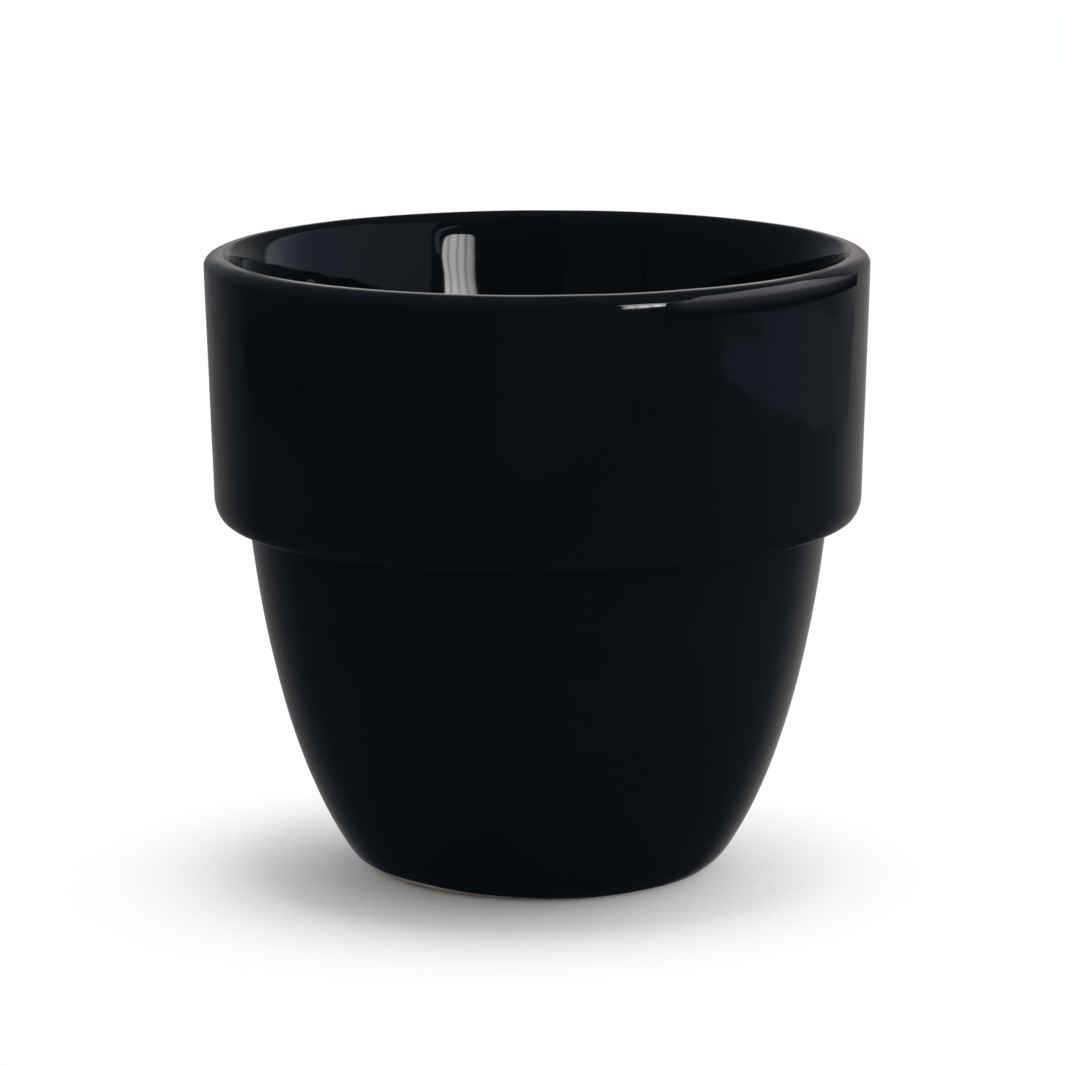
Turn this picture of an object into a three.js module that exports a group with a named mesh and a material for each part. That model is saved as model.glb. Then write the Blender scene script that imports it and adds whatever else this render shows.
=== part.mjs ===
// Handleless tasting cup of glazed stoneware: a straight collar over a narrower curved bowl,
// so that one cup nests in the next and rests on its shoulder. Millimetres, +Z up, with the
// origin on the cup's axis at the table.
import * as THREE from 'three';

const degrees = THREE.MathUtils.degToRad;

// Finished heights over the table, and the rim, all measured over the glaze
const cupHeight = 75.1;
const shoulderHeight = 43.2;
const rimRadius = 40;

// Lip: its crest lies inside the rim, with a broad round outwards to the collar. The round
// inwards is long and soft, and the two pulls are how far it keeps the crest's level and the
// wall's slope
const lipRise = 1.3;
const lipOuterRun = 2.25;
const lipInnerRun = 3.3;
const lipInnerDrop = 10.1;
const lipCrestPull = 1.75;
const lipWallPull = 4.3;
const lipCrestRadius = rimRadius - lipOuterRun;

// Collar, which narrows towards its rounded lower edge
const collarFlare = 0.8;
const collarEdgeRise = 2.7;
const collarFootRadius = rimRadius - collarFlare;

// Stacking: the bowl hangs clear inside the lip of a like cup, and the flat underside of the
// collar reaches just past the crest of that lip
const nestingInset = 2.65;
const seatMargin = 0.05;
const bowlNeckRadius = lipCrestRadius - nestingInset;
const shoulderEdgeRadius = lipCrestRadius + seatMargin;

// Foot ring that the cup stands on, and the recess inside it
const footContactRadius = 19.8;
const footRingWidth = 3.1;
const recessDepth = 2.2;
const recessEdgeRun = 1.2;
const recessWallSlope = degrees(24);
const recessFillet = 1.8;

// Bowl between the foot's round and the collar, with its slopes measured from the vertical
const footRoundRun = 4.1;
const footRoundRise = 3;
const bowlFootRadius = footContactRadius + footRoundRun;
const bowlFootSlope = degrees(31.8);
const bowlNeckSlope = degrees(6.4);
const neckFillet = 0.7;

// Inside of the cup: a straight wall that leans outwards, and a round that leads to a flat floor
const innerWallSlope = degrees(9.9);
const floorThickness = 4.2;
const floorRoundRise = 14;
const floorFlatRadius = 13;
const floorHeight = recessDepth + floorThickness;

// Glaze, which stops short of the table on both sides of the foot ring
const glazeThickness = 0.35;
const bareFootHeight = 0.6;
const bareRecessHeight = 0.7;

// Number of facets round the axis, and along each kind of curve in the outline
const turnSegments = 48;
const bowlSteps = 8;
const innerLipSteps = 7;
const floorRoundSteps = 5;
const roundSteps = 4;
const edgeSteps = 2;

const levelSlope = degrees(90);

// A point of an outline: its distance from the axis, and its height
function at(radius, height) {
  return new THREE.Vector2(radius, height);
}

// Unit direction that leans outwards from the vertical by a slope
function leaning(slope) {
  return at(Math.sin(slope), Math.cos(slope));
}

// The same point, moved into the clay through a surface of that slope that faces away from the
// axis, or with a negative depth through one that faces the axis
function sunk(point, slope, depth) {
  return at(point.x - Math.cos(slope) * depth, point.y + Math.sin(slope) * depth);
}

// A curve between two points that leaves and arrives along the two slopes
function bend(start, startSlope, end, endSlope) {
  const startLine = leaning(startSlope);
  const endLine = leaning(endSlope);
  const reach = end.clone().sub(start).cross(endLine) / startLine.cross(endLine);
  const corner = start.clone().addScaledVector(startLine, reach);
  return new THREE.QuadraticBezierCurve(start, corner, end);
}

// A quarter of an ellipse, from one angle to another in degrees
function quarter(centre, run, rise, fromAngle, toAngle) {
  const clockwise = toAngle < fromAngle;
  return new THREE.EllipseCurve(
    centre.x, centre.y, run, rise, degrees(fromAngle), degrees(toAngle), clockwise);
}

// Where a curve that climbs all the way reaches a height, as its parameter
function parameterAtHeight(curve, height) {
  const halvings = 40;
  let low = 0;
  let high = 1;
  for (let halving = 0; halving < halvings; halving += 1) {
    const middle = (low + high) / 2;
    if (curve.getPoint(middle).y < height) {
      low = middle;
    } else {
      high = middle;
    }
  }
  return (low + high) / 2;
}

// Points of a stretch of a curve, between two of its parameters
function stretch(curve, from, to, steps) {
  const points = [];
  for (let step = 0; step <= steps; step += 1) {
    points.push(curve.getPoint(THREE.MathUtils.lerp(from, to, step / steps)));
  }
  return points;
}

// Stretches laid end to end, without the points that two of them share
function joined(...stretches) {
  const closeness = 1e-6;
  const points = [];
  for (const point of stretches.flat()) {
    if (points.length === 0 || points.at(-1).distanceTo(point) > closeness) {
      points.push(point);
    }
  }
  return points;
}

// Outer curve of the foot, from where it leaves the table up to the bowl
function footCurve(depth) {
  const top = sunk(at(bowlFootRadius, footRoundRise), bowlFootSlope, depth);
  const bottom = at(footContactRadius + glazeThickness - depth, 0);
  return bend(bottom, levelSlope, top, bowlFootSlope);
}

// Outer curve of the bowl, up to the fillet under the shoulder
function bowlCurve(depth) {
  const foot = sunk(at(bowlFootRadius, footRoundRise), bowlFootSlope, depth);
  const neckLean = Math.tan(bowlNeckSlope) * neckFillet;
  const neck = sunk(at(bowlNeckRadius - neckLean, shoulderHeight - neckFillet), bowlNeckSlope, depth);
  return bend(foot, bowlFootSlope, neck, bowlNeckSlope);
}

// Outside of the cup at a depth under its glazed surface, from the glaze's lower edge to the lip
function outsideOutline(depth) {
  const foot = footCurve(depth);
  const glazeEdge = parameterAtHeight(foot, bareFootHeight);
  const bowl = bowlCurve(depth);
  const shoulderStart = at(bowlNeckRadius + neckFillet, shoulderHeight + depth);
  const neck = bend(bowl.v2, bowlNeckSlope, shoulderStart, levelSlope);
  const edgeCentre = at(shoulderEdgeRadius, shoulderHeight + collarEdgeRise);
  const edgeRun = collarFootRadius - shoulderEdgeRadius - depth;
  const edge = quarter(edgeCentre, edgeRun, collarEdgeRise - depth, -90, 0);
  const lipCentre = at(lipCrestRadius, cupHeight - lipRise);
  const lip = quarter(lipCentre, lipOuterRun - depth, lipRise - depth, 0, 90);
  return joined(
    stretch(foot, glazeEdge, 1, edgeSteps),
    bowl.getPoints(bowlSteps),
    neck.getPoints(edgeSteps),
    edge.getPoints(roundSteps),
    lip.getPoints(roundSteps));
}

// Inside of the cup at a depth under its glazed surface, from the lip down to the floor's middle
function insideOutline(depth) {
  const wallTop = at(lipCrestRadius - lipInnerRun, cupHeight - lipInnerDrop);
  const wallFootHeight = floorHeight + floorRoundRise;
  const wallLean = Math.tan(innerWallSlope) * (wallTop.y - wallFootHeight);
  const wallFoot = at(wallTop.x - wallLean, wallFootHeight);
  const floorEdge = at(floorFlatRadius, floorHeight - depth);
  const floorRound = bend(
    sunk(wallFoot, innerWallSlope, -depth), innerWallSlope, floorEdge, levelSlope);
  return joined(
    innerLip(sunk(wallTop, innerWallSlope, -depth), depth).getPoints(innerLipSteps),
    floorRound.getPoints(floorRoundSteps),
    [at(0, floorHeight - depth)]);
}

// Inner round of the lip, from its crest at a depth down to the top of the wall
function innerLip(wallTop, depth) {
  const crest = at(lipCrestRadius, cupHeight - depth);
  const crestHandle = at(crest.x - lipCrestPull + depth, crest.y);
  const wallHandle = wallTop.clone().addScaledVector(leaning(innerWallSlope), lipWallPull);
  return new THREE.CubicBezierCurve(crest, crestHandle, wallHandle, wallTop);
}

// Underside inside the foot ring at a depth over its glazed surface, from the glaze's edge
// to the middle
function recessOutline(depth) {
  const wallFoot = at(footContactRadius - footRingWidth - recessEdgeRun, bareRecessHeight);
  const start = at(
    wallFoot.x + Math.cos(recessWallSlope) * depth, wallFoot.y + Math.sin(recessWallSlope) * depth);
  const ceilingHeight = recessDepth + depth;
  const lean = Math.tan(recessWallSlope) * (recessDepth - bareRecessHeight);
  const ceilingEdge = at(wallFoot.x - lean - recessFillet, ceilingHeight);
  const fillet = bend(start, -recessWallSlope, ceilingEdge, levelSlope);
  return joined(fillet.getPoints(roundSteps), [at(0, ceilingHeight)]);
}

// Bare clay of the foot ring, from the recess glaze's edge round to the outer glaze's edge
function bareFootOutline() {
  const recessGlazeEdge = recessOutline(glazeThickness)[0];
  const ringInside = at(footContactRadius - footRingWidth, 0);
  const innerEdge = bend(recessGlazeEdge, -recessWallSlope, ringInside, levelSlope);
  const outer = footCurve(glazeThickness);
  const glazeEdge = parameterAtHeight(outer, bareFootHeight);
  return joined(innerEdge.getPoints(edgeSteps), stretch(outer, 0, glazeEdge, edgeSteps));
}

// A closed outline turned about the cup's axis and stood upright
function turned(name, outline, material) {
  const geometry = new THREE.LatheGeometry(outline, turnSegments);
  geometry.rotateX(Math.PI / 2);
  const mesh = new THREE.Mesh(geometry, material);
  mesh.name = name;
  return mesh;
}

// Fired clay under the glaze: collar, bowl, floor and foot ring in one
function clayBody() {
  const clay = new THREE.MeshStandardMaterial({ color: 0x8c8074, roughness: 0.85, metalness: 0 });
  const outline = joined(
    recessOutline(glazeThickness).reverse(),
    bareFootOutline(),
    outsideOutline(glazeThickness),
    insideOutline(glazeThickness));
  return turned('clay_body', outline, clay);
}

function blackGlaze() {
  return new THREE.MeshStandardMaterial({ color: 0x0b0f12, roughness: 0.08, metalness: 0 });
}

// One coat of glaze over the inside, the lip and the outside
function glazeCoat() {
  const claySide = joined(outsideOutline(glazeThickness), insideOutline(glazeThickness));
  const faceSide = joined(outsideOutline(0), insideOutline(0));
  return turned('glaze_coat', joined(claySide.reverse(), faceSide), blackGlaze());
}

// The separate patch of glaze under the cup, inside the bare foot ring
function footRecessGlaze() {
  const claySide = recessOutline(glazeThickness);
  const faceSide = recessOutline(0).reverse();
  return turned('foot_recess_glaze', joined(faceSide, claySide), blackGlaze());
}

const cup = new THREE.Group();
cup.add(clayBody(), glazeCoat(), footRecessGlaze());

export default cup;
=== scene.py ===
import math

import bpy
import numpy as np
from mathutils import Euler, Matrix, Vector, noise


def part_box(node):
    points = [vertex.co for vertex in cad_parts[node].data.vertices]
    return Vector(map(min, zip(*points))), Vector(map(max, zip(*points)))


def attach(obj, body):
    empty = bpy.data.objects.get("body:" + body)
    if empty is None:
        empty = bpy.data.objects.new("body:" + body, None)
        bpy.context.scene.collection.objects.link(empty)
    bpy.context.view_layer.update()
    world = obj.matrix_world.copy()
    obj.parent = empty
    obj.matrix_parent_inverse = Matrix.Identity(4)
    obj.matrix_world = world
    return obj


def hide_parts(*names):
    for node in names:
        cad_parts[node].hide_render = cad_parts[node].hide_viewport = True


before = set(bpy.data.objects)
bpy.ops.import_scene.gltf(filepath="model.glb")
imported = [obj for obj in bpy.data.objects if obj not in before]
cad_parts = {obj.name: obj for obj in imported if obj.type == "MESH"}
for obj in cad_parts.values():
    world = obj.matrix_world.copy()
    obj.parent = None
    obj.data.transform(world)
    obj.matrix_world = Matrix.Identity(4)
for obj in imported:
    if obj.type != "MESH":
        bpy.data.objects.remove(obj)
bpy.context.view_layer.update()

MM = 0.001

# All sizes are in millimetres. These two come from the frame
GLAZE_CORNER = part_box("glaze_coat")[1] / MM
CUP_HEIGHT = GLAZE_CORNER.z
RIM_RADIUS = GLAZE_CORNER.x

# Lip: its crest lies inside the rim. Its inner round is long and soft, and the two pulls are how
# far it keeps the crest's level and the wall's slope
LIP_RISE = 1.3
LIP_OUTER_RUN = 2.25
LIP_INNER_RUN = 3.3
LIP_INNER_DROP = 10.1
LIP_CREST_PULL = 1.75
LIP_WALL_PULL = 4.3
LIP_CREST_RADIUS = RIM_RADIUS - LIP_OUTER_RUN

# Collar, which narrows towards its rounded lower edge
SHOULDER_HEIGHT = 43.2
COLLAR_FLARE = 0.8
COLLAR_EDGE_RISE = 2.7
COLLAR_FOOT_RADIUS = RIM_RADIUS - COLLAR_FLARE

# Stacking: the bowl hangs clear inside the lip of a like cup, and the flat underside of the
# collar reaches just past the crest of that lip
NESTING_INSET = 2.65
SEAT_MARGIN = 0.05
BOWL_NECK_RADIUS = LIP_CREST_RADIUS - NESTING_INSET
SHOULDER_EDGE_RADIUS = LIP_CREST_RADIUS + SEAT_MARGIN

# Foot ring that the cup stands on, and the recess inside it
FOOT_CONTACT_RADIUS = 19.8
FOOT_RING_WIDTH = 3.1
RECESS_DEPTH = 2.2
RECESS_EDGE_RUN = 1.2
RECESS_WALL_SLOPE = math.radians(24)
RECESS_FILLET = 1.8

# Bowl between the foot's round and the collar, with its slopes measured from the vertical
FOOT_ROUND_RUN = 4.1
FOOT_ROUND_RISE = 3
BOWL_FOOT_RADIUS = FOOT_CONTACT_RADIUS + FOOT_ROUND_RUN
BOWL_FOOT_SLOPE = math.radians(31.8)
BOWL_NECK_SLOPE = math.radians(6.4)
NECK_FILLET = 0.7
LEVEL = math.radians(90)

# Inside of the cup: a straight wall that leans outwards, and a round that leads to a flat floor
INNER_WALL_SLOPE = math.radians(9.9)
FLOOR_THICKNESS = 4.2
FLOOR_HEIGHT = RECESS_DEPTH + FLOOR_THICKNESS
FLOOR_ROUND_RISE = 14
FLOOR_FLAT_RADIUS = 13

# Glaze: its thickness, and where it stops over the table in the recess and outside. Outside it
# stops higher towards one side, and its edge ripples
GLAZE = 0.35
BARE_RECESS_HEIGHT = 0.7
BARE_FOOT_HEIGHT = 0.4
BARE_SIDE = math.radians(203)
BARE_SIDE_RISE = 1.3
BARE_RIPPLE = 0.14

# Waves in the face of the glaze: their depth, and the length and the share of the two that it mixes
WAVE_DEPTH = 0.11
LONG_WAVE, LONG_SHARE = 9, 0.38
SHORT_WAVE, SHORT_SHARE = 3.5, 0.12

# Steps round the axis, and along the stretches of the outline
TURN_STEPS = 320
BOWL_STEPS = 44
COLLAR_STEPS = 30
INNER_LIP_STEPS = 36
INNER_WALL_STEPS = 34
FLOOR_ROUND_STEPS = 26
ROUND_STEPS = 14
FOOT_STEPS = 10
FOOT_RING_STEPS = 8
SHORT_STEPS = 6
SHOULDER_STEPS = 3
EDGE_STEPS = 5

# Corners of the sheets on the table that the collar mirrors: a blue grey one on the right, a dark
# one on the left, and what lies past the table's front edge. The sheets glow and only the glaze
# sees them: their colours are painted light, standing in for the lit and dim parts of the room
# that the collar mirrors
BLUE_SHEET = [(313, -180), (340, -155), (368, -116), (389, -53), (403, 22), (402, 120), (300, 330),
              (230, 202), (275, 147), (304, 44), (303, -5), (309, -53), (303, -89), (312, -132)]
DARK_SHEET = [(-304, -138), (-306, -54), (-294, 84), (-287, 109), (-316, 153), (-342, 182),
              (-385, 130), (-400, 30), (-373, -119)]
FRONT_FLOOR = [(-330, -240), (-223, -218), (4, -222), (130, -206), (270, -180), (295, -200),
               (272, -245), (480, -900), (-900, -900)]
# Dimmer patch in front: a dim glow that stands in for a darker part of what the collar mirrors
FRONT_DARK = [(-170, -296), (-125, -266), (-62, -272), (-75, -330), (-200, -900), (-500, -900)]
# Lighter patch in front: painted light for a lit part of what the collar mirrors
FRONT_LIT_PATCH = [(-62, -272), (90, -267), (158, -300), (172, -323), (450, -890), (-190, -890),
              (-75, -330)]

# Softbox on end in front on the right: the feet of its two sides as seen from the cup, and its
# face and an arc round its upper corner, by the distance from the right foot and the height
KEY_RIGHT = Vector((112.5, -223.3, 0))
KEY_LEFT = Vector((165.1, -187.8, 0))
KEY_ALONG = (KEY_LEFT - KEY_RIGHT).normalized()
KEY_FACE = [(0, 52), (0, 190), (4, 200), (14, 205), (48, 205), (58, 196), (63, 178), (64.5, 150),
            (64.5, 52)]
KEY_ARC = [(70, 150), (77, 152), (83, 190), (80, 235), (64, 266), (38, 286), (56, 248), (68, 226),
           (73, 195)]

# Card bent close over the right of the lip: its upright part, and by the bearing in degrees how
# high that is and how far the top reaches in over the lip
LIP_CARD_RADIUS = 43.5
LIP_CARD_LOW = 71.2
LIP_CARD_HIGH = CUP_HEIGHT + 4.7
LIP_CARD_BEARINGS = [23, 27, 32, 45, 62, 70, 75, 82]
LIP_CARD_TOPS = [75, 77, LIP_CARD_HIGH, LIP_CARD_HIGH, LIP_CARD_HIGH, LIP_CARD_HIGH, 76.3, 75]
LIP_CARD_REACHES = [0.01, 0.1, 3, 4.9, 5.3, 2.5, 0.1, 0.01]
CARD_STEPS = 60


def leaning(slope):
    """Unit direction in the outline that leans outwards from the vertical by a slope."""
    return np.array([math.sin(slope), math.cos(slope)])


def sunk(point, slope, depth):
    """The point moved into the clay through a surface of that slope that faces away from the
    axis, or with a negative depth through one that faces the axis."""
    return point + depth * np.array([-math.cos(slope), math.sin(slope)])


def bezier(controls, steps, start=0.0, end=1.0):
    """Points along a Bezier curve of any degree."""
    place = np.linspace(start, end, steps + 1)[:, None]
    layer = [np.array(point, float) for point in controls]
    while len(layer) > 1:
        layer = [a + (b - a) * place for a, b in zip(layer, layer[1:])]
    return layer[0]


def bend(start, start_slope, end, end_slope):
    """Controls of the curve that leaves one point and meets another along the two slopes."""
    start, end = np.array(start, float), np.array(end, float)
    first, last = leaning(start_slope), leaning(end_slope)
    across = first[0] * last[1] - first[1] * last[0]
    gap = end - start
    reach = (gap[0] * last[1] - gap[1] * last[0]) / across
    return [start, start + first * reach, end]


def quarter(centre, run, rise, from_angle, to_angle, steps):
    """Points of a stretch of an ellipse, between two angles in degrees."""
    angle = np.radians(np.linspace(from_angle, to_angle, steps + 1))
    return np.stack([centre[0] + run * np.cos(angle), centre[1] + rise * np.sin(angle)], 1)


def line(start, end, steps):
    """Points along a straight line."""
    return np.linspace(start, end, steps + 1)


def place_at_height(controls, height, samples=4000):
    """Parameter at which a curve that climbs all the way reaches a height."""
    heights = bezier(controls, samples)[:, 1]
    return float(np.interp(height, heights, np.linspace(0, 1, samples + 1)))


def joined(*stretches):
    """Stretches laid end to end, each without its first point where it repeats the last one."""
    closeness = 1e-6
    points = [stretches[0]]
    for stretch in stretches[1:]:
        repeats = np.linalg.norm(stretch[0] - points[-1][-1]) < closeness
        points.append(stretch[1:] if repeats else stretch)
    return np.concatenate(points)


def foot_curve(depth):
    """Outer curve of the foot at a depth under the glaze's face, from the table to the bowl."""
    top = sunk(np.array([BOWL_FOOT_RADIUS, FOOT_ROUND_RISE]), BOWL_FOOT_SLOPE, depth)
    bottom = [FOOT_CONTACT_RADIUS + GLAZE - depth, 0]
    return bend(bottom, LEVEL, top, BOWL_FOOT_SLOPE)


def bowl_curve(depth):
    """Outer curve of the bowl at that depth, up to the fillet under the shoulder."""
    foot = sunk(np.array([BOWL_FOOT_RADIUS, FOOT_ROUND_RISE]), BOWL_FOOT_SLOPE, depth)
    lean = math.tan(BOWL_NECK_SLOPE) * NECK_FILLET
    neck = np.array([BOWL_NECK_RADIUS - lean, SHOULDER_HEIGHT - NECK_FILLET])
    return bend(foot, BOWL_FOOT_SLOPE, sunk(neck, BOWL_NECK_SLOPE, depth), BOWL_NECK_SLOPE)


def outside_outline(depth, bare_height):
    """Outside of the cup, from the glaze's lower edge at that height up to the lip's crest."""
    foot = foot_curve(depth)
    bowl = bowl_curve(depth)
    shoulder_start = [BOWL_NECK_RADIUS + NECK_FILLET, SHOULDER_HEIGHT + depth]
    edge_centre = [SHOULDER_EDGE_RADIUS, SHOULDER_HEIGHT + COLLAR_EDGE_RISE]
    edge_run = COLLAR_FOOT_RADIUS - SHOULDER_EDGE_RADIUS - depth
    edge = quarter(edge_centre, edge_run, COLLAR_EDGE_RISE - depth, -90, 0, ROUND_STEPS)
    lip_centre = [LIP_CREST_RADIUS, CUP_HEIGHT - LIP_RISE]
    lip = quarter(lip_centre, LIP_OUTER_RUN - depth, LIP_RISE - depth, 0, 90, ROUND_STEPS)
    return joined(
        bezier(foot, FOOT_STEPS, place_at_height(foot, bare_height)),
        bezier(bowl, BOWL_STEPS),
        bezier(bend(bowl[-1], BOWL_NECK_SLOPE, shoulder_start, LEVEL), SHORT_STEPS),
        line(shoulder_start, edge[0], SHOULDER_STEPS),
        edge,
        line(edge[-1], lip[0], COLLAR_STEPS),
        lip,
    )


def inside_outline(depth):
    """Inside of the cup, from the lip's crest down to the middle of the floor."""
    slope = INNER_WALL_SLOPE
    wall_top = np.array([LIP_CREST_RADIUS - LIP_INNER_RUN, CUP_HEIGHT - LIP_INNER_DROP])
    wall_foot_height = FLOOR_HEIGHT + FLOOR_ROUND_RISE
    wall_lean = math.tan(slope) * (wall_top[1] - wall_foot_height)
    wall_foot = sunk(np.array([wall_top[0] - wall_lean, wall_foot_height]), slope, -depth)
    wall_top = sunk(wall_top, slope, -depth)
    crest = np.array([LIP_CREST_RADIUS, CUP_HEIGHT - depth])
    crest_handle = crest - [LIP_CREST_PULL - depth, 0]
    lip = [crest, crest_handle, wall_top + leaning(slope) * LIP_WALL_PULL, wall_top]
    floor_edge = [FLOOR_FLAT_RADIUS, FLOOR_HEIGHT - depth]
    return joined(
        bezier(lip, INNER_LIP_STEPS),
        line(wall_top, wall_foot, INNER_WALL_STEPS),
        bezier(bend(wall_foot, slope, floor_edge, LEVEL), FLOOR_ROUND_STEPS),
        line(floor_edge, [0, FLOOR_HEIGHT - depth], SHORT_STEPS),
    )


def recess_outline(depth):
    """Underside inside the foot ring, from the edge of its glaze to the middle."""
    ring_inside = FOOT_CONTACT_RADIUS - FOOT_RING_WIDTH
    wall_foot = np.array([ring_inside - RECESS_EDGE_RUN, BARE_RECESS_HEIGHT])
    outward = np.array([math.cos(RECESS_WALL_SLOPE), math.sin(RECESS_WALL_SLOPE)])
    lean = math.tan(RECESS_WALL_SLOPE) * (RECESS_DEPTH - BARE_RECESS_HEIGHT)
    ceiling_edge = [wall_foot[0] - lean - RECESS_FILLET, RECESS_DEPTH + depth]
    fillet = bend(wall_foot + outward * depth, -RECESS_WALL_SLOPE, ceiling_edge, LEVEL)
    ceiling = line(ceiling_edge, [0, RECESS_DEPTH + depth], EDGE_STEPS)
    return joined(bezier(fillet, ROUND_STEPS), ceiling)


def bare_foot_outline(bare_height):
    """Bare clay of the foot ring, from the recess glaze's edge round to the outer glaze's edge."""
    inner_start = recess_outline(GLAZE)[0]
    ring_inside = [FOOT_CONTACT_RADIUS - FOOT_RING_WIDTH, 0]
    outer = foot_curve(GLAZE)
    return joined(
        bezier(bend(inner_start, -RECESS_WALL_SLOPE, ring_inside, LEVEL), FOOT_RING_STEPS),
        line(ring_inside, outer[0], SHORT_STEPS),
        bezier(outer, FOOT_RING_STEPS, 0, place_at_height(outer, bare_height)),
    )


def bead(face_edge, clay_edge):
    """Rounded edge of a glaze coat, between its face and the clay, without those two points."""
    flatness = 0.6
    middle = (face_edge + clay_edge) / 2
    half = (face_edge - clay_edge) / 2
    bulge = np.array([half[1], -half[0]]) * flatness
    angle = np.linspace(0, math.pi, EDGE_STEPS + 1)[1:-1, None]
    return middle - half * np.cos(angle) + bulge * np.sin(angle)


def revolved(name, outlines):
    """A closed mesh from one outline per turn step, each from axis to axis."""
    sharp_angle = math.radians(50)
    turns = len(outlines)
    angles = np.arange(turns) * 2 * math.pi / turns
    rings = outlines[:, 1:-1]
    x = rings[:, :, 0] * np.cos(angles)[:, None]
    y = rings[:, :, 0] * np.sin(angles)[:, None]
    ring_points = np.stack([x, y, rings[:, :, 1]], 2).reshape(-1, 3)
    poles = [[0, 0, outlines[0, 0, 1]], [0, 0, outlines[0, -1, 1]]]
    mesh = bpy.data.meshes.new(name)
    points = np.concatenate([ring_points, poles]) * MM
    mesh.from_pydata(points.tolist(), [], revolved_faces(turns, rings.shape[1]))
    mesh.polygons.foreach_set("use_smooth", [True] * len(mesh.polygons))
    mesh.set_sharp_from_angle(angle=sharp_angle)
    piece = bpy.data.objects.new(name, mesh)
    bpy.context.scene.collection.objects.link(piece)
    return piece


def revolved_faces(turns, count):
    """Faces between rings of points that lie turn after turn, with the two poles after them."""
    first_pole, last_pole = turns * count, turns * count + 1
    faces = []
    for turn in range(turns):
        here, there = turn * count, (turn + 1) % turns * count
        faces.append((first_pole, there, here))
        faces.append((last_pole, here + count - 1, there + count - 1))
        for step in range(count - 1):
            faces.append((here + step, there + step, there + step + 1, here + step + 1))
    return faces


def turn_angles():
    """The angle of each step round the axis."""
    return [turn * 2 * math.pi / TURN_STEPS for turn in range(TURN_STEPS)]


def bare_height_at(angle):
    """Height at which the glaze stops over the table: it dips and rises round the foot, and
    stops highest in front on the left."""
    ripple_radius, ripple_layer = 2.2, 4.0
    x, y = ripple_radius * math.cos(angle), ripple_radius * math.sin(angle)
    ripple = noise.noise(Vector((x, y, ripple_layer)))
    towards_bare_side = max(math.cos(angle - BARE_SIDE), 0)
    return BARE_FOOT_HEIGHT + BARE_SIDE_RISE * towards_bare_side ** 2 + BARE_RIPPLE * ripple


def make_clay():
    outlines = []
    for angle in turn_angles():
        height = bare_height_at(angle)
        outlines.append(joined(
            recess_outline(GLAZE)[::-1],
            bare_foot_outline(height),
            outside_outline(GLAZE, height),
            inside_outline(GLAZE),
        ))
    return revolved("clay", np.array(outlines))


def glaze_dip(radius, height, angle):
    """Depth of the waves that the glaze dried and melted with, at a point of its face. Half of
    a wave lies over the CAD model's face and half under it."""
    other_place = Vector((7, 3, 5))
    place = Vector((radius * math.cos(angle), radius * math.sin(angle), height))
    long_wave = noise.noise(place / LONG_WAVE)
    short_wave = noise.noise(place / SHORT_WAVE + other_place)
    share = LONG_SHARE * long_wave + SHORT_SHARE * short_wave
    return WAVE_DEPTH * min(max(share, -0.5), 0.5)


def make_glaze():
    outlines = []
    for angle in turn_angles():
        height = bare_height_at(angle)
        clay_side = joined(outside_outline(GLAZE, height), inside_outline(GLAZE))
        face_side = joined(outside_outline(0, height), inside_outline(0))
        dips = np.array([glaze_dip(*point, angle) for point in face_side])
        dips[-1] = 0
        face_side = face_side + (clay_side - face_side) * dips[:, None] / GLAZE
        edge = bead(face_side[0], clay_side[0])
        outlines.append(np.concatenate([clay_side[::-1], edge, face_side]))
    return revolved("glaze", np.array(outlines))


def make_recess_glaze():
    clay_side = recess_outline(GLAZE)
    face_side = recess_outline(0)[::-1]
    outline = np.concatenate([face_side, bead(clay_side[0], face_side[-1]), clay_side])
    return revolved("recess_glaze", np.repeat(outline[None], TURN_STEPS, 0))


def add_piece(piece, node, material):
    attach(piece, "root")
    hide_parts(node)
    piece.data.materials.append(material)


def add_node(tree, kind, inputs=None, **settings):
    """A new node of a shader tree; each input is a plain value or another node's output."""
    node = tree.nodes.new(kind)
    for name, value in settings.items():
        setattr(node, name, value)
    for name, value in (inputs or {}).items():
        if isinstance(value, bpy.types.NodeSocket):
            tree.links.new(value, node.inputs[name])
        else:
            node.inputs[name].default_value = value
    return node


def calc(tree, operation, *values):
    """A sum on plain numbers, for a shader."""
    inputs = dict(enumerate(values))
    return add_node(tree, "ShaderNodeMath", inputs, operation=operation).outputs[0]


def product(tree, *factors):
    """Plain numbers multiplied together."""
    result = factors[0]
    for factor in factors[1:]:
        result = calc(tree, "MULTIPLY", result, factor)
    return result


def span(tree, share, start, end):
    """The plain number that lies that share of the way from start to end."""
    return calc(tree, "MULTIPLY_ADD", share, end - start, start)


def rise(tree, value, start, end):
    """A soft step from 0 where the value is at start to 1 where it is at end, and on past it."""
    inputs = {"Value": value, "From Min": start, "From Max": end}
    step = add_node(tree, "ShaderNodeMapRange", inputs, interpolation_type="SMOOTHSTEP")
    return step.outputs["Result"]


def vector_calc(tree, operation, *values):
    """A sum on vectors or colours, as the node that does it."""
    return add_node(tree, "ShaderNodeVectorMath", dict(enumerate(values)), operation=operation)


def tinted(tree, strength, colour):
    """A colour times a plain number."""
    inputs = {0: colour, "Scale": strength}
    return add_node(tree, "ShaderNodeVectorMath", inputs, operation="SCALE").outputs["Vector"]


def dotted(tree, vector, direction):
    """How far a vector reaches along a direction."""
    return vector_calc(tree, "DOT_PRODUCT", vector, direction).outputs["Value"]


def total(tree, *colours):
    """Colours added together."""
    result = colours[0]
    for colour in colours[1:]:
        result = vector_calc(tree, "ADD", result, colour).outputs["Vector"]
    return result


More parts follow.
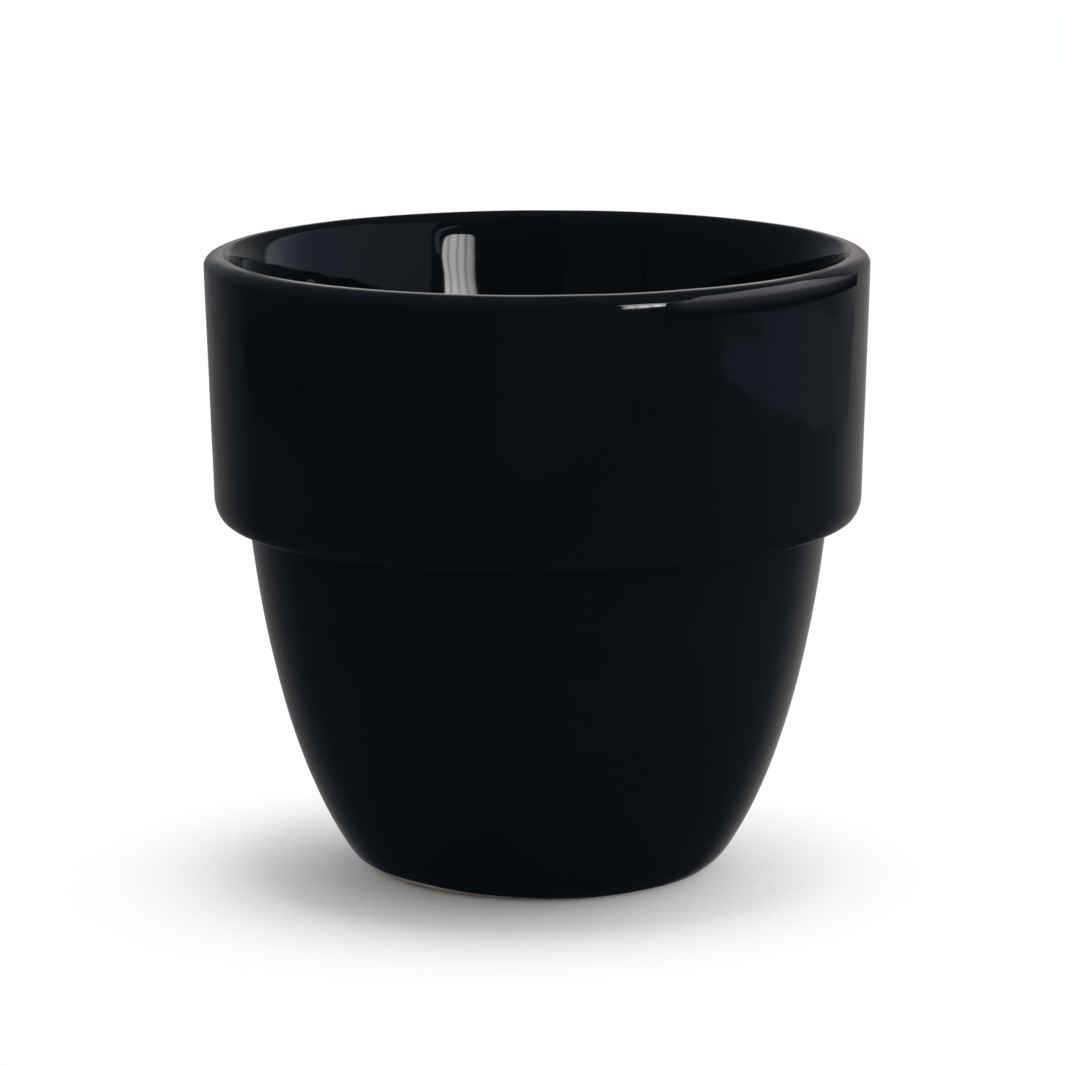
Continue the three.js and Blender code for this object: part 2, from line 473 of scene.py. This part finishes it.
def mixed(tree, factor, low, high):
    """A colour between two others."""
    node = add_node(tree, "ShaderNodeMix", data_type="RGBA")
    for socket, value in ((node.inputs[0], factor), (node.inputs[6], low), (node.inputs[7], high)):
        if isinstance(value, bpy.types.NodeSocket):
            tree.links.new(value, socket)
        elif isinstance(value, tuple):
            socket.default_value = (*value, 1)
        else:
            socket.default_value = value
    return node.outputs[2]


def place_in(tree):
    """The place on the object, in metres."""
    return add_node(tree, "ShaderNodeTexCoord").outputs["Object"]


def split(tree, vector):
    """The three numbers of a vector."""
    return add_node(tree, "ShaderNodeSeparateXYZ", {"Vector": vector}).outputs


def grain(tree, place, size, detail=2.0):
    """Noise between 0 and 1 whose patches are about so many millimetres across."""
    inputs = {"Vector": place, "Scale": 1 / (size * MM), "Detail": detail}
    return add_node(tree, "ShaderNodeTexNoise", inputs).outputs["Fac"]


def bumped(tree, shader, height, depth):
    """Gives a shader a bump of that depth in millimetres."""
    inputs = {"Height": height, "Strength": 1, "Distance": depth * MM}
    bump = add_node(tree, "ShaderNodeBump", inputs)
    tree.links.new(bump.outputs["Normal"], shader.inputs["Normal"])


def new_material(name):
    """An empty material, with its tree and its main shader."""
    material = bpy.data.materials.new(name)
    material.use_nodes = True
    return material, material.node_tree, material.node_tree.nodes["Principled BSDF"]


def gloss_glaze(name):
    """Gloss black glaze with a blue cast. It is a little paler where it thins on the lip, and
    its face has a faint orange peel, streaked downwards as it ran."""
    deep, paler, thin = (0.0021, 0.0035, 0.0044), (0.0027, 0.0044, 0.0055), (0.0051, 0.0058, 0.0068)
    least_roughness, most_roughness = 0.035, 0.065
    peel_depth = 0.0015
    material, tree, shader = new_material(name)
    place = place_in(tree)
    patches = mixed(tree, grain(tree, place, size=14), deep, paler)
    on_lip = rise(tree, split(tree, place)["Z"], (CUP_HEIGHT - LIP_RISE) * MM, CUP_HEIGHT * MM)
    thinned = product(tree, on_lip, grain(tree, place, size=5))
    tree.links.new(mixed(tree, thinned, patches, thin), shader.inputs["Base Color"])
    dull = rise(tree, grain(tree, place, size=6), 0.3, 0.8)
    roughness = span(tree, dull, least_roughness, most_roughness)
    tree.links.new(roughness, shader.inputs["Roughness"])
    drawn_out = add_node(tree, "ShaderNodeMapping", {"Vector": place, "Scale": (1, 1, 0.12)})
    runs = grain(tree, drawn_out.outputs["Vector"], size=1.2, detail=1.0)
    peel = grain(tree, place, size=1.6, detail=1.0)
    bumped(tree, shader, calc(tree, "ADD", peel, runs), peel_depth)
    shader.inputs["IOR"].default_value = 1.5
    return material


def bare_stoneware():
    """Fired clay without glaze: matt, sandy and speckled."""
    darker, paler, speck = (0.30, 0.26, 0.23), (0.42, 0.37, 0.33), (0.16, 0.13, 0.11)
    least_roughness, most_roughness = 0.78, 0.93
    sand_depth = 0.12
    material, tree, shader = new_material("stoneware")
    place = place_in(tree)
    body = mixed(tree, grain(tree, place, size=3, detail=4.0), darker, paler)
    specks = rise(tree, grain(tree, place, size=0.5), 0.62, 0.7)
    tree.links.new(mixed(tree, specks, body, speck), shader.inputs["Base Color"])
    sand = grain(tree, place, size=0.35, detail=3.0)
    roughness = span(tree, sand, least_roughness, most_roughness)
    tree.links.new(roughness, shader.inputs["Roughness"])
    bumped(tree, shader, sand, sand_depth)
    return material


def white_paper():
    """The floor: white paper with a fine fleck. Outside the cup's shadow it fades to plain white
    for the camera, and for gloss and glass."""
    darker, paler = (0.93, 0.93, 0.93), (0.98, 0.98, 0.98)
    material, tree, shader = new_material("floor_paper")
    place = place_in(tree)
    fleck = rise(tree, grain(tree, place, size=1.5, detail=4.0), 0.3, 0.7)
    tree.links.new(mixed(tree, fleck, darker, paler), shader.inputs["Base Color"])
    shader.inputs["Roughness"].default_value = 1
    shader.inputs["Specular IOR Level"].default_value = 0
    fade = product(tree, outside_shadow(tree, place), shows_background(tree))
    white = add_node(tree, "ShaderNodeEmission", {"Color": (1, 1, 1, 1), "Strength": 1})
    blend = add_node(
        tree, "ShaderNodeMixShader", {0: fade, 1: shader.outputs[0], 2: white.outputs[0]})
    tree.links.new(blend.outputs[0], tree.nodes["Material Output"].inputs["Surface"])
    return material


def outside_shadow(tree, place):
    """0 in the middle of the cup's shadow on the floor, and 1 outside an ellipse round it."""
    middle, reach = Vector((-6, -10, 0)) * MM, Vector((60, 54, 1000)) * MM
    shifted = vector_calc(tree, "SUBTRACT", place, middle).outputs["Vector"]
    shares = vector_calc(tree, "DIVIDE", shifted, reach).outputs["Vector"]
    distance = vector_calc(tree, "LENGTH", shares).outputs["Value"]
    return rise(tree, distance, 0.2, 1)


def shows_background(tree):
    """1 for a ray of the camera, and for one mirrored or let through."""
    path = add_node(tree, "ShaderNodeLightPath").outputs
    mirrored = calc(tree, "MAXIMUM", path["Is Glossy Ray"], path["Is Transmission Ray"])
    return calc(tree, "MAXIMUM", path["Is Camera Ray"], mirrored)


def glowing(name, shade, reach=None):
    """A material that only shines; shade makes its colour in the tree. With a reach in
    millimetres it shines only on what is that close, and everything else sees through it."""
    material = bpy.data.materials.new(name)
    material.use_nodes = True
    tree = material.node_tree
    tree.nodes.clear()
    surface = add_node(tree, "ShaderNodeEmission", {"Color": shade(tree), "Strength": 1}).outputs[0]
    if reach:
        ray_length = add_node(tree, "ShaderNodeLightPath").outputs["Ray Length"]
        far = calc(tree, "GREATER_THAN", ray_length, reach * MM)
        clear = add_node(tree, "ShaderNodeBsdfTransparent").outputs[0]
        surface = add_node(tree, "ShaderNodeMixShader", {0: far, 1: surface, 2: clear}).outputs[0]
    output = add_node(tree, "ShaderNodeOutputMaterial")
    tree.links.new(surface, output.inputs["Surface"])
    return material


def add_stage(name, points, faces, material):
    """A thing of the studio, from points in millimetres."""
    mesh = bpy.data.meshes.new(name)
    mesh.from_pydata((np.array(points) * MM).tolist(), [], faces)
    mesh.materials.append(material)
    thing = bpy.data.objects.new(name, mesh)
    bpy.context.scene.collection.objects.link(thing)
    return thing


def add_floor():
    """White paper, which the glaze doesn't mirror."""
    half = 3000
    corners = [(-half, -half, 0), (half, -half, 0), (half, half, 0), (-half, half, 0)]
    floor = add_stage("floor", corners, [(0, 1, 2, 3)], white_paper())
    floor.visible_glossy = False


def add_card(name, points, shade, faces=None, reach=None):
    """A glowing card that only gloss mirrors; it lights nothing. Without faces it is one face
    whose corners are the points."""
    name = "card_" + name
    card = add_stage(name, points, faces or [range(len(points))], glowing(name, shade, reach))
    for kind in ("camera", "diffuse", "transmission", "volume_scatter", "shadow"):
        setattr(card, "visible_" + kind, False)


def add_strip_card(name, columns, shade, reach):
    """A bent card between columns of points, which shines only within its reach."""
    rows = len(columns[0])
    faces = []
    for column in range(len(columns) - 1):
        for row in range(rows - 1):
            corner = column * rows + row
            faces.append((corner, corner + 1, corner + rows + 1, corner + rows))
    add_card(name, [point for column in columns for point in column], shade, faces, reach)


def add_sheet(name, outline, height, dark, pale, rear=None):
    """A glowing sheet flat on the table out of the picture, seen only in the glaze: its glow,
    between two colours, is painted light for what the collar mirrors, in streaks along lines that
    run away from the cup. It may have another colour at the rear."""
    streaks_per_radian = 40
    rear_start, rear_end = math.radians(60), math.radians(95)

    def shade(tree):
        x, y, _ = split(tree, place_in(tree))
        bearing = calc(tree, "ARCTAN2", x, y)
        inputs = {"W": bearing, "Scale": streaks_per_radian, "Detail": 3.0}
        streaks = add_node(tree, "ShaderNodeTexNoise", inputs, noise_dimensions="1D").outputs["Fac"]
        streaked = mixed(tree, rise(tree, streaks, 0.3, 0.7), dark, pale)
        if rear is None:
            return streaked
        return mixed(tree, rise(tree, bearing, rear_end, rear_start), streaked, rear)

    add_card(name, [(x, y, height) for x, y in outline], shade)


def add_sheets():
    # Each sheet's colours are the painted light of its glow, as the collar mirrors it
    lower, upper = 1, 2
    add_sheet("blue", BLUE_SHEET, lower, dark=(0.085, 0.12, 0.17), pale=(0.115, 0.16, 0.225),
              rear=(0.10, 0.105, 0.12))
    add_sheet("dark", DARK_SHEET, lower, dark=(0.010, 0.014, 0.018), pale=(0.013, 0.018, 0.023))
    add_sheet("front", FRONT_FLOOR, lower, dark=(0.016, 0.023, 0.029), pale=(0.021, 0.029, 0.037))
    add_sheet("front_dark", FRONT_DARK, upper, dark=(0.010, 0.014, 0.017),
              pale=(0.014, 0.019, 0.023))
    add_sheet("front_lit_patch", FRONT_LIT_PATCH, upper, dark=(0.024, 0.034, 0.046),
              pale=(0.034, 0.047, 0.066))


def key_shade(tree):
    """The glow of the softbox: brighter towards its left side and its foot, with a darker
    streak every few millimetres across."""
    spacing, first_streak, sharpness, darkest = 17, 2, 4, 0.5
    dim, bright = (4.3, 4.2, 4.1), (8.6, 8.5, 8.8)
    lower_gain = 1.9
    place = place_in(tree)
    across = calc(tree, "SUBTRACT", dotted(tree, place, KEY_ALONG), KEY_RIGHT.dot(KEY_ALONG) * MM)
    per_metre, shift = 2 * math.pi / (spacing * MM), 2 * math.pi * first_streak / spacing
    turn = calc(tree, "MULTIPLY_ADD", across, per_metre, -shift)
    crest = calc(tree, "MULTIPLY_ADD", calc(tree, "COSINE", turn), 0.5, 0.5)
    streaks = span(tree, calc(tree, "POWER", crest, sharpness), 1, darkest)
    slope = mixed(tree, rise(tree, across, -8 * MM, 42 * MM), dim, bright)
    lower_part = rise(tree, split(tree, place)["Z"], 125 * MM, 95 * MM)
    return tinted(tree, product(tree, streaks, span(tree, lower_part, 1, lower_gain)), slope)


def add_key_card():
    """A strip softbox in front on the right, with a dim lilac arc round its upper corner. Both
    stand on end, 250 mm from the cup's axis."""

    def standing(outline):
        upright = Vector((0, 0, 1))
        return [KEY_RIGHT + KEY_ALONG * across + upright * height for across, height in outline]

    add_card("key", standing(KEY_FACE), key_shade)
    add_card("key_arc", standing(KEY_ARC), lambda tree: (0.44, 0.48, 0.72, 1))


def lip_card_shade(tree):
    """The glow of the lip card, which fades at its ends and towards its lower edge."""
    x, y, z = split(tree, place_in(tree))
    bearing = calc(tree, "DEGREES", calc(tree, "ARCTAN2", x, product(tree, y, -1)))
    ends = product(tree, rise(tree, bearing, 23, 28), rise(tree, bearing, 90, 50))
    upward = rise(tree, z, LIP_CARD_LOW * MM, 78.2 * MM)
    return tinted(tree, product(tree, ends, upward), (1.38, 1.36, 1.50))


def add_lip_card():
    """A card bent close over the right of the rim, for the grey band on the outer round of the
    lip. It shines only on what is close to it, so the inside of the cup doesn't mirror it."""
    shines_to = 30
    columns = []
    for bearing in np.linspace(LIP_CARD_BEARINGS[0], LIP_CARD_BEARINGS[-1], CARD_STEPS + 1):
        across, ahead = math.sin(math.radians(bearing)), -math.cos(math.radians(bearing))
        top = np.interp(bearing, LIP_CARD_BEARINGS, LIP_CARD_TOPS)
        inner = LIP_CARD_RADIUS - np.interp(bearing, LIP_CARD_BEARINGS, LIP_CARD_REACHES)
        corners = ((LIP_CARD_RADIUS, LIP_CARD_LOW), (LIP_CARD_RADIUS, top), (inner, top))
        columns.append([(radius * across, radius * ahead, height) for radius, height in corners])
    add_strip_card("lip", columns, lip_card_shade, shines_to)


def add_crest_card():
    """A card close behind the crest of the lip in front, for the thin bright line along it. It
    shines only on what is close to it, because the rear of the lip has no such line."""
    shines_to, behind, half_turn = 12, 7, math.radians(66)
    low, high = 75.3, 80
    bright, dim = (0.70, 0.68, 0.66), (0.22, 0.20, 0.19)

    def shade(tree):
        x, _, z = split(tree, place_in(tree))
        middle = rise(tree, calc(tree, "ABSOLUTE", x), 34.5 * MM, 26 * MM)
        upward, downward = rise(tree, z, low * MM, 76.1 * MM), rise(tree, z, high * MM, 76.8 * MM)
        band = product(tree, upward, downward)
        return total(tree, tinted(tree, product(tree, middle, band), bright), dim)

    columns = []
    for turn in np.linspace(-half_turn, half_turn, CARD_STEPS + 1):
        x, y = LIP_CREST_RADIUS * math.sin(turn), -LIP_CREST_RADIUS * math.cos(turn)
        columns.append([(x, y + behind, low), (x, y + behind, high)])
    add_strip_card("crest", columns, shade, shines_to)


def add_top_lamp():
    """A small soft lamp straight above, for the darker shadow close to the foot."""
    lamp = bpy.data.lights.new("lamp_top", "AREA")
    lamp.shape = "DISK"
    lamp.size = 400 * MM
    lamp.energy = 5.9
    holder = bpy.data.objects.new("lamp_top", lamp)
    holder.location = (0, 0, 1200 * MM)
    holder.visible_glossy = False
    bpy.context.scene.collection.objects.link(holder)


def plain_light(tree, direction):
    """Light on the floor and the clay: strongest near the horizon, behind and on the right."""
    everywhere, more_right, more_rear = 2.3, 1.13, 1.14
    rightwards = product(tree, direction["X"], more_right)
    rearwards = product(tree, direction["Y"], more_rear)
    level = calc(tree, "ADD", calc(tree, "ADD", rightwards, rearwards), everywhere)
    low = calc(tree, "MAXIMUM", calc(tree, "SUBTRACT", 1, direction["Z"]), 0)
    return tinted(tree, product(tree, level, low), (1, 1, 1))


def dim_room(tree, azimuth, elevation):
    """The room that the glaze mirrors: dark, a little lighter near the horizon to the right and
    behind, with a darker gap straight behind, and a little lighter overhead."""
    unlit, gap_level = (0.020, 0.028, 0.037), 0.25
    low = product(tree, rise(tree, elevation, -40, -13), rise(tree, elevation, 40, 0))
    straight_behind = rise(tree, calc(tree, "ABSOLUTE", azimuth), 175, 178.5)
    gap = product(tree, straight_behind, rise(tree, elevation, -11.5, -7))
    rear = product(tree, low, span(tree, gap, 1, gap_level))
    left_rear = product(tree, rise(tree, azimuth, -112, -180), rear)
    right = product(tree, rise(tree, azimuth, 30, 120), low)
    right_rear = product(tree, rise(tree, azimuth, 120, 158), rear)
    under_horizon = rise(tree, elevation, 4, -4)
    far_right_rear = product(tree, rise(tree, azimuth, 155, 175), under_horizon, rear)
    left_wall = product(tree, rise(tree, azimuth, -9, -12), rise(tree, elevation, 2, 6))
    upper_room = rise(tree, elevation, 0, 8)
    overhead = rise(tree, elevation, 52, 75)
    return total(
        tree,
        unlit,
        tinted(tree, left_rear, (0.19, 0.175, 0.17)),
        tinted(tree, right, (0.027, 0.033, 0.045)),
        tinted(tree, right_rear, (0.215, 0.19, 0.165)),
        tinted(tree, far_right_rear, (0.085, 0.075, 0.065)),
        tinted(tree, left_wall, (0.014, 0.024, 0.028)),
        tinted(tree, upper_room, (0.013, 0.015, 0.020)),
        tinted(tree, overhead, (0.015, 0.016, 0.018)),
    )


def rounded(tree, azimuth, elevation, centre, reach):
    """1 inside a rounded rectangle of directions, with its middle and half sizes in degrees."""
    squareness, soft = 5, 0.02
    sides = []
    for angle, middle, half in zip((azimuth, elevation), centre, reach):
        share = calc(tree, "DIVIDE", calc(tree, "SUBTRACT", angle, middle), half)
        sides.append(calc(tree, "POWER", calc(tree, "ABSOLUTE", share), squareness))
    distance = calc(tree, "POWER", calc(tree, "ADD", *sides), 1 / squareness)
    return rise(tree, distance, 1 + soft, 1 - soft)


def panel_edge(tree, azimuth, elevation):
    """A faint dark line round a panel in front on the left."""
    middle, outer_reach, inner_reach = (-27, 10), (19, 26), (17, 23.5)
    outside = rounded(tree, azimuth, elevation, middle, outer_reach)
    inside = rounded(tree, azimuth, elevation, middle, inner_reach)
    far_side = product(tree, rise(tree, azimuth, -20, -30), rise(tree, elevation, 0, 4))
    line_here = product(tree, calc(tree, "SUBTRACT", outside, inside), far_side)
    return tinted(tree, line_here, (-0.014, -0.022, -0.026))


def rear_glow(tree, azimuth, elevation):
    """A warm glow behind at the horizon, which the ends of the lip mirror."""
    behind = rise(tree, calc(tree, "ABSOLUTE", azimuth), 163, 177)
    band = product(tree, rise(tree, elevation, 0, 9), rise(tree, elevation, 20, 11))
    return tinted(tree, product(tree, behind, band), (0.29, 0.255, 0.235))


def window(tree, azimuth, elevation):
    """A broad window on the right, which rounds off towards the rear and is brighter there."""
    middle, rear_reach, upward_reach = 85, 48, 45
    streak_rate, streak_depth = 1.9, 0.04
    dim, bright = (0.15, 0.185, 0.255), (0.47, 0.48, 0.57)
    past_middle = calc(tree, "MAXIMUM", calc(tree, "SUBTRACT", azimuth, middle), 0)
    rearwards = calc(tree, "POWER", calc(tree, "DIVIDE", past_middle, rear_reach), 2)
    upwards = calc(tree, "POWER", calc(tree, "DIVIDE", elevation, upward_reach), 2)
    distance = calc(tree, "SQRT", calc(tree, "ADD", rearwards, upwards))
    front, sill = rise(tree, azimuth, 43.5, 45), rise(tree, elevation, -8, -6)
    pane = product(tree, front, sill, rise(tree, distance, 1.04, 0.96))
    wave = calc(tree, "SINE", product(tree, azimuth, streak_rate))
    streaks = calc(tree, "MULTIPLY_ADD", wave, streak_depth, 1)
    colour = mixed(tree, rise(tree, azimuth, 105, 130), dim, bright)
    return tinted(tree, product(tree, pane, streaks), colour)


def mirrored_studio(tree, direction):
    """What the glaze mirrors, from each direction. Angles are in degrees: the azimuth runs from
    the camera's side to the right, and the elevation from the horizon up."""
    forwards = product(tree, direction["Y"], -1)
    azimuth = calc(tree, "DEGREES", calc(tree, "ARCTAN2", direction["X"], forwards))
    elevation = calc(tree, "DEGREES", calc(tree, "ARCSINE", direction["Z"]))
    parts = (dim_room, panel_edge, rear_glow, window)
    return total(tree, *[part(tree, azimuth, elevation) for part in parts])


def add_world():
    """White behind for the camera and through glass, the mirrored studio for gloss, and plain
    light for the rest."""
    world = bpy.data.worlds.new("studio")
    bpy.context.scene.world = world
    world.use_nodes = True
    tree = world.node_tree
    tree.nodes.clear()
    direction = split(tree, add_node(tree, "ShaderNodeTexCoord").outputs["Generated"])
    path = add_node(tree, "ShaderNodeLightPath").outputs
    clear = calc(tree, "MAXIMUM", path["Is Camera Ray"], path["Is Transmission Ray"])
    colours = (plain_light(tree, direction), mirrored_studio(tree, direction), (1, 1, 1, 1))
    plain, studio, white = (
        add_node(tree, "ShaderNodeBackground", {"Color": colour}).outputs[0] for colour in colours)
    light = add_node(tree, "ShaderNodeMixShader", {0: path["Is Glossy Ray"], 1: plain, 2: studio})
    shown = add_node(tree, "ShaderNodeMixShader", {0: clear, 1: light.outputs[0], 2: white})
    output = add_node(tree, "ShaderNodeOutputWorld")
    tree.links.new(shown.outputs[0], output.inputs["Surface"])


def add_camera():
    """The photograph's camera, from a fit to the cup's outline."""
    photo_width, focal_pixels = 1065, 4695
    place = Vector((0, -560, 151.02)) * MM
    pitch, yaw, roll = (math.radians(angle) for angle in (11.164, -0.07, 0.24))
    camera = bpy.data.objects.new("camera", bpy.data.cameras.new("camera"))
    bpy.context.scene.collection.objects.link(camera)
    camera.data.sensor_width = 36
    camera.data.lens = camera.data.sensor_width * focal_pixels / photo_width
    aim = Euler((math.radians(90) - pitch, 0, -yaw)).to_matrix().to_4x4()
    camera.matrix_world = Matrix.Translation(place) @ aim @ Matrix.Rotation(-roll, 4, "Z")
    bpy.context.scene.camera = camera


bpy.context.scene.view_settings.view_transform = "Standard"
add_camera()
add_world()
add_top_lamp()
add_floor()
add_sheets()
add_key_card()
add_lip_card()
add_crest_card()
black = gloss_glaze("black_glaze")
add_piece(make_clay(), "clay_body", bare_stoneware())
add_piece(make_glaze(), "glaze_coat", black)
add_piece(make_recess_glaze(), "foot_recess_glaze", black)
